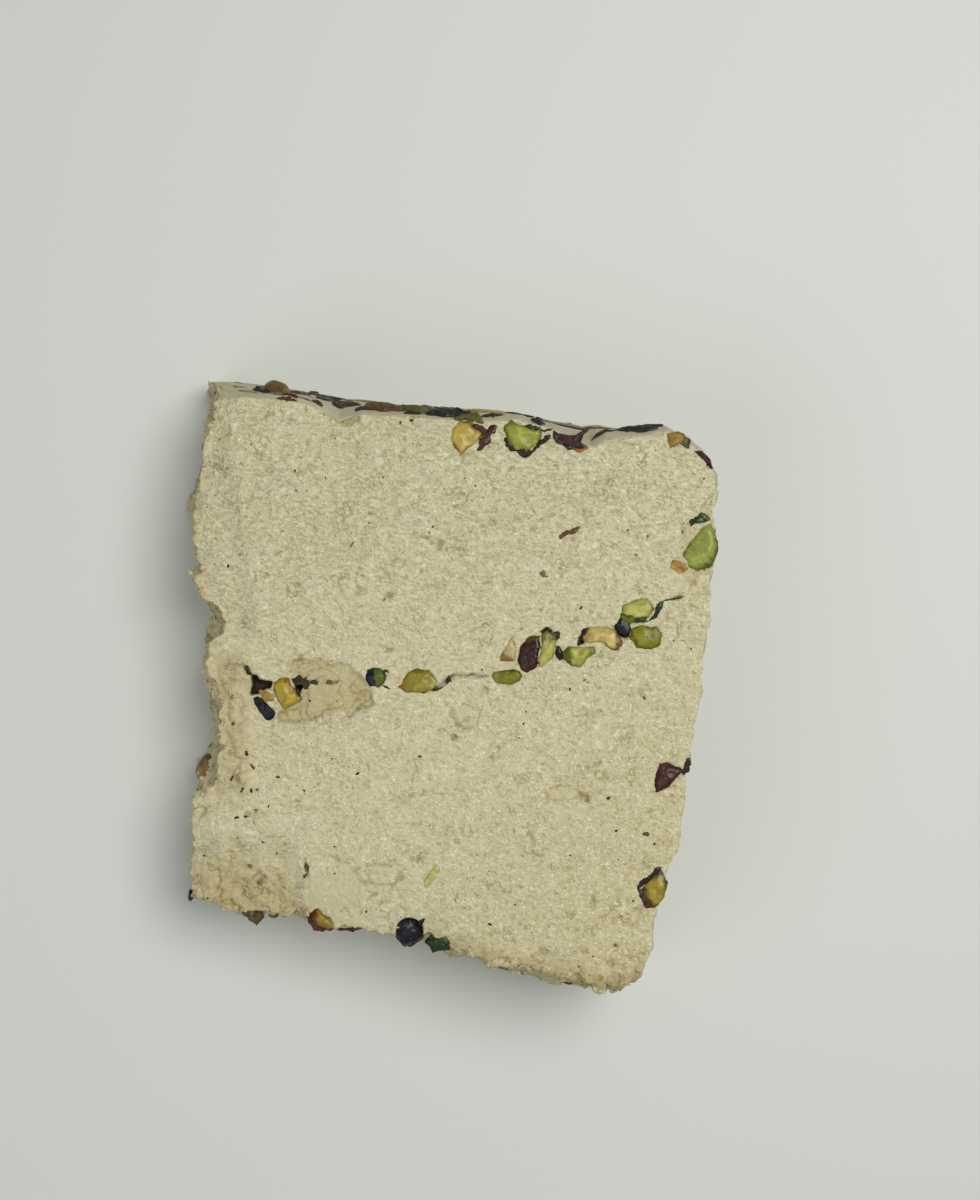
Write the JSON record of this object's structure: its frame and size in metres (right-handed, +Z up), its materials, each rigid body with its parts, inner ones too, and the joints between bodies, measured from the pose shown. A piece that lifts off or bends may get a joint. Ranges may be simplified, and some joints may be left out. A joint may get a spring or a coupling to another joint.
{
  "type": "pistachio halva wedge",
  "caption": "Thick wedge of crumbly sesame halva lying on a cut face, with pistachios pressed into its skin and a cracked pistachio layer across its middle.",
  "frame": {"origin": "middle of the footprint's bounding box, on the surface that the wedge lies on", "axes": "+Z up, out of the upper cut face; +X from the broken tip to the wheel's rim; +Y from the torn front to the back, along the height of the wheel"},
  "size_m": [0.1048, 0.1214, 0.0413],
  "materials": {
    "halva": "pale cream sesame halva, fine grained and matte with small bright specks",
    "kernel_green": "fresh green kernel, satin",
    "kernel_lime": "pale yellow-green kernel, satin",
    "kernel_olive": "olive kernel, satin",
    "kernel_gold": "golden kernel, satin",
    "kernel_amber": "amber-brown kernel, satin",
    "kernel_peach": "pale peach kernel, satin",
    "kernel_plum": "dark plum skin, a little glossy",
    "kernel_black": "near-black skin, a little glossy",
    "kernel_fern": "dark green kernel, satin",
    "kernel_brown": "brown skin, dull"
  },
  "bodies": {
    "root": {"halva": "halva", "pistachio_back_gold": "kernel_gold", "pistachio_back_green": "kernel_green", "pistachio_back_curl": "kernel_plum", "pistachio_corner_amber": "kernel_amber", "pistachio_corner_plum": "kernel_plum", "pistachio_rim_green": "kernel_green", "pistachio_rim_fern": "kernel_fern", "pistachio_rim_amber": "kernel_amber", "pistachio_rim_plum": "kernel_plum", "pistachio_rim_olive": "kernel_olive", "pistachio_layer_black": "kernel_black", "pistachio_layer_gold": "kernel_gold", "pistachio_layer_bead": "kernel_fern", "pistachio_layer_yellow": "kernel_olive", "pistachio_layer_leaf": "kernel_green", "pistachio_layer_sliver": "kernel_peach", "pistachio_layer_plum": "kernel_plum", "pistachio_layer_lime": "kernel_lime", "pistachio_layer_pale": "kernel_lime", "pistachio_layer_peach": "kernel_peach", "pistachio_layer_olive": "kernel_olive", "pistachio_layer_twin": "kernel_olive", "pistachio_front_grey": "kernel_brown", "pistachio_front_amber": "kernel_amber", "pistachio_front_black": "kernel_black", "pistachio_front_fern": "kernel_fern", "pistachio_back_brown": "kernel_brown", "pistachio_back_a": "kernel_gold", "pistachio_back_b": "kernel_plum", "pistachio_back_c": "kernel_lime", "pistachio_back_d": "kernel_plum", "pistachio_back_e": "kernel_green", "pistachio_back_f": "kernel_fern", "pistachio_rim_a": "kernel_plum", "pistachio_rim_b": "kernel_gold", "pistachio_rim_c": "kernel_green", "pistachio_rim_d": "kernel_amber", "pistachio_front_a": "kernel_green", "pistachio_front_b": "kernel_amber", "pistachio_tip_a": "kernel_amber", "pistachio_tip_b": "kernel_amber", "pistachio_foot_a": "kernel_olive", "pistachio_foot_b": "kernel_green", "pistachio_foot_c": "kernel_lime", "pistachio_foot_d": "kernel_plum"}
  },
  "joints": []
}
